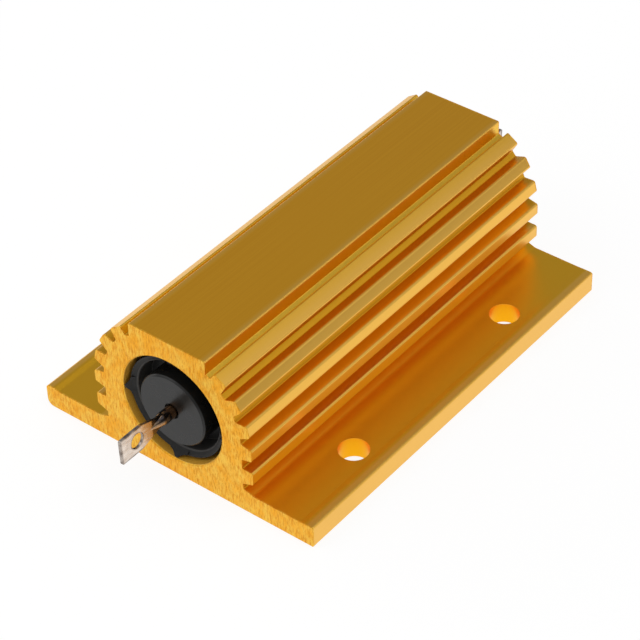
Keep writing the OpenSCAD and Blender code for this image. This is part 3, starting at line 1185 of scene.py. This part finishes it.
@dataclass
class Housing(RefinedPiece):
    """The extrusion, with softly broken saw edges and shallow lips on its flanges.

    Attributes:
        corner_width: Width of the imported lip's rounded outer corner, in millimetres.
        corner_margin: How far above its foot the corner is taken to begin, and how far
            below that its lowest points may lie, in millimetres.
        corners: Scale of that corner towards the flange's edge, at -Y and at +Y.
        lip_margin: Height over the flange's top from which points belong to the lip, in
            millimetres.
        lip_shares: Share of the lip's height that is left, at -Y and at +Y.
        foot_width: Width of the flanges' rounded lower corners, in millimetres.
        feet: Scale of those corners, at -Y and at +Y.
    """

    edge_radius: float = 0.09 * MM
    corner_width: float = 0.75
    corner_margin: Range = (0.05, 0.04)
    corners: Range = (0.55, 1.0)
    lip_margin: float = 0.02
    lip_shares: Range = (0.1, 0.5)
    foot_width: float = 0.55
    feet: Range = (0.4, 2.0)

    def reshape(self, piece: bpy.types.Object) -> None:
        """Presses the lips down and reshapes the flanges' upper and lower corners.

        Args:
            piece: The piece, selected and active.
        """
        size = self.size
        corner = size.half_width - self.corner_width
        inner = size.tip_radius + size.clear
        outer = size.half_width + size.clear
        above, below = self.corner_margin
        for side, share, shrink in zip(SIDES, self.lip_shares, self.corners):
            rise = max(vertex.co.z / MM for vertex in piece.data.vertices
                       if vertex.co.y * side / MM > inner
                       and vertex.co.z / MM < size.axis_height) - size.flange_top
            foot = size.flange_top + rise - self.corner_width + above
            self.scale_part(
                piece, (inner, corner), (size.flange_top + self.lip_margin, size.axis_height),
                side, (1.0, 1.0, share), (0.0, 0.0, size.flange_top))
            height = (size.flange_top + rise * share - foot) / (size.flange_top + rise - foot)
            self.scale_part(
                piece, (corner, outer), (foot - below, size.axis_height), side,
                (1.0, shrink, height), (0.0, side * size.half_width, foot))
        for side, scale in zip(SIDES, self.feet):
            self.scale_part(
                piece, (size.half_width - self.foot_width, outer), (-1.0, self.foot_width),
                side, (1.0, scale, scale), (0.0, side * size.half_width, 0.0))

    @staticmethod
    def scale_part(piece: bpy.types.Object, across: Range, heights: Range, side: int,
                   scale: Triple, centre: Triple) -> None:
        """Scales the vertices within a box that runs the piece's whole length.

        Args:
            piece: The active piece.
            across: Distances from the middle plane between which it acts, in millimetres.
            heights: Heights between which it acts, in millimetres.
            side: -1 for the side at -Y and 1 for the side at +Y.
            scale: Scale along x, y and z.
            centre: The point that keeps its place, in millimetres.
        """
        bpy.ops.object.mode_set(mode="EDIT")
        bpy.ops.mesh.select_all(action="DESELECT")
        bpy.ops.object.mode_set(mode="OBJECT")
        for vertex in piece.data.vertices:
            vertex.select = (across[0] < vertex.co.y * side / MM <= across[1]
                             and heights[0] < vertex.co.z / MM < heights[1])
        bpy.ops.object.mode_set(mode="EDIT")
        bpy.ops.transform.resize(value=scale,
                                 center_override=tuple(part * MM for part in centre))
        bpy.ops.mesh.select_all(action="DESELECT")
        bpy.ops.object.mode_set(mode="OBJECT")


@dataclass
class Terminal(RefinedPiece):
    """A solder terminal, whose pressed tag has soft edges."""

    edge_radius: float = 0.12 * MM
    segments: int = 3


@dataclass
class EndCap(RefinedPiece):
    """A moulded end cap with the small radii of its mould."""

    edge_radius: float = 0.05 * MM


@dataclass
class Resistor:
    """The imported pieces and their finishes.

    Attributes:
        nodes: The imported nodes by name.
        slots: Material slot by node name.
        size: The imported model's proportions.
    """

    nodes: dict[str, bpy.types.Object]
    slots: dict[str, str]
    size: Proportions

    def dress(self, materials: dict[str, bpy.types.Material]) -> None:
        """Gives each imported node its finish.

        Args:
            materials: Materials by slot.
        """
        for name, node in self.nodes.items():
            material = materials[self.slots[name]]
            for place in node.material_slots:
                place.material = material
            log.info("%s is dressed in %s", name, material.name)

    def refine(self, materials: dict[str, bpy.types.Material]) -> None:
        """Models the finer pieces.

        Args:
            materials: Materials by slot.
        """
        pieces = [Housing(self.nodes["housing"], self.size)]
        for end in (1, 2):
            pieces += [Terminal(self.nodes[f"terminal_{end}"], self.size),
                       EndCap(self.nodes[f"end_cap_{end}"], self.size)]
        for piece in pieces:
            slot = self.slots[piece.node.name]
            piece.build(slot, materials[slot])


# ---- the studio -----------------------------------------------------------------


@dataclass(frozen=True)
class Viewpoint:
    """Where the camera stands.

    Attributes:
        azimuth: Degrees round the object; 0 looks along +Y.
        elevation: Degrees above the floor.
        roll: Degrees that the camera leans.
        place: The camera's position.
        lens: Focal length in millimetres.
        sensor: Width of the sensor in millimetres.
        clip: Nearest and farthest distance that the camera sees.
    """

    azimuth: float = -50.62
    elevation: float = 40.04
    roll: float = -1.89
    place: Triple = (-208.47 * MM, -170.14 * MM, 230.92 * MM)
    lens: float = 140.36
    sensor: float = 36.0
    clip: Range = (0.01, 20.0)

    def build(self) -> bpy.types.Object:
        """Makes the camera and sets it as the scene's own.

        Returns:
            The camera object.
        """
        az, el, roll = map(math.radians, (self.azimuth, self.elevation, self.roll))
        back = Vector((math.sin(az) * math.cos(el), -math.cos(az) * math.cos(el), math.sin(el)))
        level = Vector((math.cos(az), math.sin(az), 0.0))
        upright = back.cross(level)
        right = level * math.cos(roll) + upright * math.sin(roll)
        up = upright * math.cos(roll) - level * math.sin(roll)
        data = bpy.data.cameras.new("camera")
        data.sensor_width = self.sensor
        data.lens = self.lens
        data.clip_start, data.clip_end = self.clip
        camera = bpy.data.objects.new("camera", data)
        camera.matrix_world = Matrix.Translation(Vector(self.place)) @ Matrix(
            (right, up, back)).transposed().to_4x4()
        bpy.context.scene.collection.objects.link(camera)
        bpy.context.scene.camera = camera
        return camera


@dataclass(frozen=True)
class Softbox:
    """A square area lamp that faces the object.

    Attributes:
        name: The lamp's name.
        direction: Direction from the object to the lamp.
        distance: Distance to the lamp.
        width: Width of the lamp.
        radiance: Brightness of the lamp's face, where 1 is white.
    """

    name: str
    direction: Triple
    distance: float
    width: float
    radiance: float

    def build(self, aim: Vector) -> bpy.types.Object:
        """Makes the lamp.

        Args:
            aim: The point that it faces.

        Returns:
            The lamp object.
        """
        data = bpy.data.lights.new(self.name, "AREA")
        data.shape = "SQUARE"
        data.size = self.width
        data.energy = self.radiance * math.pi * self.width**2
        lamp = bpy.data.objects.new(self.name, data)
        towards = Vector(self.direction).normalized()
        lamp.location = aim + towards * self.distance
        lamp.rotation_euler = towards.to_track_quat("Z", "Y").to_euler()
        bpy.context.scene.collection.objects.link(lamp)
        return lamp


@dataclass
class Studio:
    """A pale floor, softboxes and a grey surround.

    Attributes:
        floor_width: Width of the floor.
        floor_height: Its height, a hair under the part.
        floor_colour: Its colour, which takes the shadow.
        glow: Brightness with which the camera and reflections see it, where 1 is white.
        glow_share: Share of that brightness against the shaded floor.
        surround: Brightness of the grey surround.
        aim: The point that the lamps face.
        softboxes: The lamps.
    """

    floor_width: float = 6.0
    floor_height: float = -0.03 * MM
    floor_colour: Colour = (0.9, 0.9, 0.9)
    glow: float = 1.08
    glow_share: float = 0.8
    surround: float = 0.36
    aim: Triple = (0.0, 0.0, 10 * MM)
    softboxes: list[Softbox] = field(default_factory=lambda: [
        Softbox("front_high", (0.0, -0.42, 0.91), 1.0, 0.6, 1.9),
        Softbox("near_end", (-0.90, 0.10, 0.42), 1.0, 0.6, 0.5),
        Softbox("front_low", (0.56, -0.62, 0.55), 1.0, 0.5, 0.5),
        Softbox("above", (0.0, 0.0, 1.0), 1.0, 0.6, 0.7),
        Softbox("back_left", (-0.54, 0.54, 0.64), 1.0, 0.6, 1.2),
        Softbox("back_low", (0.0, 0.98, 0.21), 1.0, 0.6, 2.1),
    ])

    def build(self) -> None:
        """Makes the floor, the lamps and the surround, and sets plain colour handling."""
        self.build_floor()
        self.build_surround()
        for softbox in self.softboxes:
            softbox.build(Vector(self.aim))
        bpy.context.scene.view_settings.view_transform = "Standard"

    def build_floor(self) -> None:
        """Makes the floor: white to the camera and to reflections, keeping a soft shadow."""
        bpy.ops.object.select_all(action="DESELECT")
        bpy.ops.mesh.primitive_plane_add(size=self.floor_width,
                                         location=(0.0, 0.0, self.floor_height))
        floor = bpy.context.object
        floor.name = "floor"
        material = bpy.data.materials.new("pale_floor")
        material.use_nodes = True
        wiring = Wiring(material.node_tree)
        out = wiring.add("ShaderNodeOutputMaterial")
        matt = wiring.add("ShaderNodeBsdfDiffuse")
        matt.inputs["Color"].default_value = rgba(self.floor_colour)
        paper = wiring.add("ShaderNodeEmission")
        paper.inputs["Strength"].default_value = self.glow
        path = wiring.add("ShaderNodeLightPath").outputs
        seen = wiring.largest(path["Is Camera Ray"], path["Is Glossy Ray"],
                              path["Is Transmission Ray"])
        mix = wiring.add("ShaderNodeMixShader")
        wiring.feed(mix.inputs[0], wiring.product(seen, self.glow_share))
        wiring.feed(mix.inputs[1], matt.outputs[0])
        wiring.feed(mix.inputs[2], paper.outputs[0])
        wiring.feed(out.inputs["Surface"], mix.outputs[0])
        floor.data.materials.append(material)

    def build_surround(self) -> None:
        """Makes the world a plain grey."""
        world = bpy.data.worlds.new("surround")
        bpy.context.scene.world = world
        world.use_nodes = True
        wiring = Wiring(world.node_tree)
        sky = wiring.add("ShaderNodeBackground")
        sky.inputs["Color"].default_value = rgba((1.0, 1.0, 1.0))
        sky.inputs["Strength"].default_value = self.surround
        wiring.feed(wiring.add("ShaderNodeOutputWorld").inputs["Surface"], sky.outputs[0])


def main() -> None:
    """Builds the scene in order."""
    logging.basicConfig(level=logging.INFO, format="%(name)s: %(message)s")
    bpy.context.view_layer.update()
    Viewpoint().build()
    effects = Effects(noise=StretchedNoise(), end=EndDistance(), radius=AxisDistance(),
                      shelter=Shelter())
    size = Proportions.of_frame()
    finishes = all_finishes(size)
    materials = {finish.slot: finish.build(effects) for finish in finishes}
    slots = {part["node"]: part["material_slot"] for part in frame["record"]["subparts"]}
    resistor = Resistor(frame["nodes"], slots, size)
    resistor.dress(materials)
    resistor.refine(materials)
    Studio().build()


if __name__ == "__main__":
    main()
